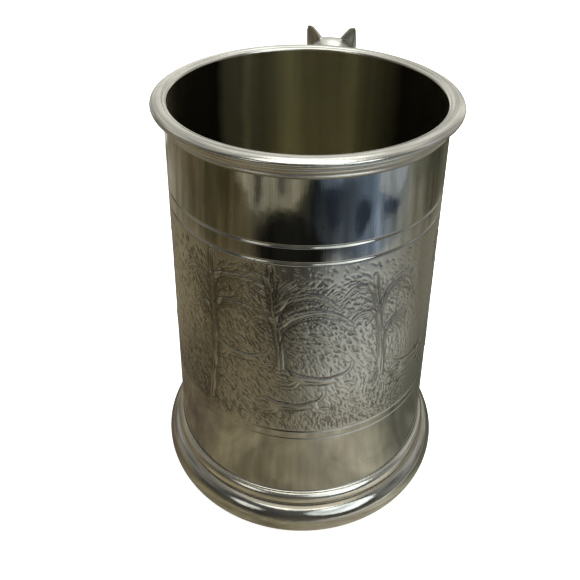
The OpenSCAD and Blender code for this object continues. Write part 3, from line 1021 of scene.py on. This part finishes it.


# What the metal sees on the glowing painted bench, by distance and by angle as a part of a turn from the back
BENCH = {
    "near": [
        (0.33, 0.16, 0.13, 0.09), (0.39, 0.28, 0.24, 0.15), (0.50, 0.27, 0.24, 0.16),
        (0.58, 0.46, 0.42, 0.33), (0.65, 0.50, 0.48, 0.38), (0.71, 0.14, 0.14, 0.11)],
    "middle": [
        (0.27, 0.29, 0.25, 0.16), (0.33, 0.14, 0.11, 0.06), (0.41, 0.28, 0.24, 0.15),
        (0.48, 0.15, 0.13, 0.09), (0.53, 0.27, 0.27, 0.23), (0.585, 0.62, 0.65, 0.64),
        (0.65, 0.80, 0.83, 0.80), (0.72, 0.56, 0.56, 0.51), (0.80, 0.24, 0.23, 0.18)],
    "far": [
        (0.15, 0.33, 0.30, 0.23), (0.27, 0.14, 0.12, 0.07), (0.33, 0.09, 0.075, 0.04),
        (0.37, 0.15, 0.12, 0.06), (0.42, 0.09, 0.08, 0.05), (0.46, 0.02, 0.02, 0.016),
        (0.53, 0.02, 0.021, 0.02), (0.58, 0.08, 0.095, 0.115), (0.63, 0.11, 0.14, 0.19),
        (0.67, 0.25, 0.32, 0.42), (0.71, 0.25, 0.28, 0.30), (0.76, 0.29, 0.28, 0.23),
        (0.82, 0.12, 0.115, 0.08)],
    "farthest": [
        (0.15, 0.22, 0.19, 0.13), (0.27, 0.14, 0.115, 0.065), (0.33, 0.07, 0.06, 0.03),
        (0.38, 0.10, 0.08, 0.04), (0.43, 0.17, 0.16, 0.11), (0.48, 0.26, 0.24, 0.15),
        (0.51, 0.10, 0.10, 0.065), (0.54, 0.018, 0.02, 0.022), (0.59, 0.05, 0.065, 0.08),
        (0.63, 0.10, 0.13, 0.18), (0.67, 0.18, 0.25, 0.35), (0.72, 0.22, 0.27, 0.32),
        (0.76, 0.23, 0.23, 0.19), (0.82, 0.10, 0.10, 0.07)],
    "horizon": [
        (0.30, 0.28, 0.26, 0.20), (0.50, 0.40, 0.40, 0.37), (0.60, 0.46, 0.49, 0.52),
        (0.72, 0.36, 0.36, 0.34)],
}
# Soft-edged shapes painted on the glowing bench: (part of a turn, distance, half sizes of each, softness,
# colour)
BENCH_THINGS = [
    (0.452, 0.335, 0.078, 0.062, 0.25, (0.29, 0.27, 0.20)),
    (0.430, 0.330, 0.010, 0.050, 0.5, (0.10, 0.09, 0.07)),
    (0.475, 0.345, 0.012, 0.050, 0.5, (0.12, 0.11, 0.09)),
    (0.492, 0.217, 0.082, 0.066, 0.5, (0.012, 0.012, 0.010)),
    (0.605, 0.390, 0.080, 0.072, 0.4, (0.15, 0.19, 0.26)),
    (0.585, 0.300, 0.018, 0.030, 0.5, (0.03, 0.04, 0.06)),
    (0.640, 0.272, 0.020, 0.030, 0.5, (0.035, 0.045, 0.065)),
    (0.712, 0.340, 0.036, 0.052, 0.15, (0.42, 0.47, 0.52)),
    (0.705, 0.270, 0.022, 0.022, 0.5, (0.07, 0.09, 0.13)),
    (0.330, 0.400, 0.035, 0.050, 0.4, (0.03, 0.04, 0.012)),
    (0.090, 0.380, 0.070, 0.120, 0.2, (0.75, 0.75, 0.70)),
]
# Distances in metres over which each zone gives way to the next
BENCH_EDGES = [("middle", 0.085, 0.12), ("far", 0.195, 0.225), ("farthest", 0.25, 0.30),
               ("horizon", 0.40, 0.48)]


def make_floor():
    """A plain pale floor to the camera; to the metal, a painted bench that glows: a brown bench with a dark
    front and a cool right, seen only in reflections.
    """
    size, below = 4.0, 0.0001
    mesh = bpy.data.meshes.new("floor")
    corners = [(-size, -size, 0), (size, -size, 0), (size, size, 0), (-size, size, 0)]
    mesh.from_pydata(corners, [], [(0, 1, 2, 3)])
    floor = placed("floor", mesh)
    floor.location.z = -below
    material = bpy.data.materials.new("floor")
    n = Nodes(material, "Object")
    plain = (("Base Color", (0.85, 0.85, 0.85)), ("Roughness", 0.8), ("Emission Color", (1, 1, 1)),
             ("Emission Strength", 0.8))
    for socket, value in plain:
        n.feed(n.shader.inputs[socket], value)
    split = n.add("ShaderNodeSeparateXYZ", Vector=n.place)
    x, y = split.outputs["X"], split.outputs["Y"]
    distance = n.math("SQRT", n.plus(n.times(x, x), n.times(y, y)))
    turn = n.turn_from(x, n.times(y, -1.0))
    uneven = n.noise(n.place, 9.0, 4.0, 0.5)
    shifted = n.swayed(turn, uneven, 0.05)
    nearer = n.swayed(distance, uneven, 0.09)
    blotch = n.add("ShaderNodeTexNoise", Vector=n.place, Scale=34.0, Detail=3.0, Distortion=1.4)
    blotch = n.ramp(blotch.outputs["Fac"], (0.35, 0.72), (0.65, 1.28))
    bench = n.blend("MULTIPLY", 1.0, n.ramp(shifted, *BENCH["near"]), blotch)
    for zone, start, end in BENCH_EDGES:
        bench = n.mix(n.ramp(nearer, (start, 0.0), (end, 1.0)), bench, n.ramp(shifted, *BENCH[zone]))
    for where, away, wide, deep, soft, tint in BENCH_THINGS:
        across = n.math("DIVIDE", n.math("SUBTRACT", shifted, where), wide)
        along = n.math("DIVIDE", n.math("SUBTRACT", nearer, away), deep)
        gone = n.plus(n.times(across, across), n.times(along, along))
        bench = n.mix(n.ramp(gone, (1 - soft, 1.0), (1.0, 0.0)), bench, tint)
    streaks = n.add("ShaderNodeCombineXYZ", X=n.times(turn, 60.0), Y=n.times(distance, 5.0))
    shade = n.ramp(n.noise(streaks.outputs[0], 1.0, 4.0, 0.65), (0.3, 0.45), (0.7, 1.55))
    bench = n.blend("MULTIPLY", n.ramp(distance, (0.09, 0.2), (0.24, 1.0)), bench, shade)
    # the painted bench pattern glows, for every ray but the camera's
    glow = n.add("ShaderNodeEmission", Color=bench, Strength=1.0)
    n.split_by_ray(n.shader.outputs[0], glow.outputs[0])
    mesh.materials.append(material)


make_camera()
make_world()
make_floor()
make_light()
bpy.context.scene.view_settings.view_transform = "Standard"

# Painted shade and painted glints inside the cup: dark sides and narrow bright streaks, by angle as a part of
# a turn
INSIDE_SHADE_AND_GLINTS = [(0.16, 1.0), (0.26, 0.10), (0.345, 0.07), (0.358, 0.58), (0.380, 0.72), (0.386, 1.1), (0.392, 1.1),
           (0.398, 0.72), (0.412, 0.52), (0.43, 0.62), (0.450, 1.0), (0.458, 0.96), (0.475, 0.62),
           (0.497, 0.62), (0.52, 0.76), (0.534, 1.05), (0.541, 1.05), (0.548, 0.76), (0.565, 0.66),
           (0.60, 0.40), (0.618, 0.09), (0.74, 0.10), (0.84, 1.0)]
OUTSIDE = pewter("pewter_polished", (0.58, 0.57, 0.53), (0.50, 0.49, 0.44), 0.055,
                 pits=0.4, streak=0.05, bump=0.16)
BAND = pewter("pewter_band", (0.60, 0.585, 0.535), (0.48, 0.465, 0.41), 0.25, recess=0.62, bump=0.4, pits=0.5)
INSIDE = pewter("pewter_inside", (0.86, 0.815, 0.57), (0.82, 0.78, 0.53), 0.40, grain=(0.8, 0.8, 0.02),
                columns=INSIDE_SHADE_AND_GLINTS)
REED = pewter("pewter_reed", (0.74, 0.70, 0.62), (0.64, 0.60, 0.52), 0.3, TURNED, pits=0.4, bump=0.3)
FLOOR = pewter("pewter_floor", (0.80, 0.78, 0.70), (0.70, 0.68, 0.58), 0.3, TURNED)
LIP = pewter("pewter_lip", (0.70, 0.69, 0.64), (0.58, 0.57, 0.51), 0.12, TURNED, pits=0.5, bump=0.35)
FOOT = pewter("pewter_foot", (0.68, 0.67, 0.62), (0.56, 0.55, 0.49), 0.07, TURNED, pits=0.4)
# a brighter copy of the foot's pewter for its upper moulding: painted highlight
FOOT_PAINTED_HIGHLIGHT = pewter("pewter_painted_highlight", (0.92, 0.90, 0.80), (0.84, 0.82, 0.72), 0.17, TURNED, pits=0.3)
CREASED = pewter("pewter_creased", (0.42, 0.39, 0.33), (0.30, 0.27, 0.21), 0.34, TURNED, pits=0.5)
FOX = pewter("pewter_fox", (0.70, 0.69, 0.64), (0.58, 0.57, 0.51), 0.36, (1, 1, 0.4), recess=0.32, pits=0.3)
SOLDER = pewter("solder", (0.40, 0.39, 0.36), (0.28, 0.27, 0.24), 0.38)


def finish_zones(piece, zone_of, *materials):
    """Gives each face the material of its zone: 0 is the piece's first, then these in turn."""
    for material in materials:
        piece.data.materials.append(material)
    for face in piece.data.polygons:
        face.material_index = zone_of(math.hypot(face.center.x, face.center.y) / MM, face.center.z / MM)


def lip_zone(r, z):
    """The mouth's wall is dark like the cup inside, with its painted shade, and the reed under the lip is
    duller.
    """
    mouth_z, beside_wall = HEIGHT - 1.0, 0.3
    if z < mouth_z and r < bore_r(z) + beside_wall:
        return 1
    return 2 if z < SKIRT_Z + REED_RISE + 2 * REED_R else 0


def foot_zone(_, z):
    """The upper moulding takes a brighter copy of the pewter, a painted highlight, and the crease below it is
    darker and duller.
    """
    highlight_from, crease_low, crease_high = OVOLO_R - 1, -0.62, 0.6
    above_torus = z - TORUS_Z - TORUS_R
    # the upper moulding's faces take the painted highlight
    if above_torus > highlight_from:
        return 1
    return 2 if crease_low < above_torus < crease_high else 0


lip = stands_for(lathe("lip", lip_outline(), 0.03), LIP, "lip_pewter", "mouth_wire")
finish_zones(lip, lip_zone, INSIDE, REED)
foot = stands_for(lathe("foot", foot_outline(), 0.04), FOOT, "foot_pewter", "foot_moulding")
finish_zones(foot, foot_zone, FOOT_PAINTED_HIGHLIGHT, CREASED)
stands_for(floor_object("floor_disc"), FLOOR, "floor_pewter", "floor_plate")
add_drum()
# the fillets and pads of solder keep their CAD shape
for node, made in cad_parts.items():
    if node.endswith("solder") and node != "drum_seam_solder":
        made.data.materials.clear()
        made.data.materials.append(SOLDER)
stands_for(fox_object("fox"), FOX, "fox_pewter", "fox_handle")
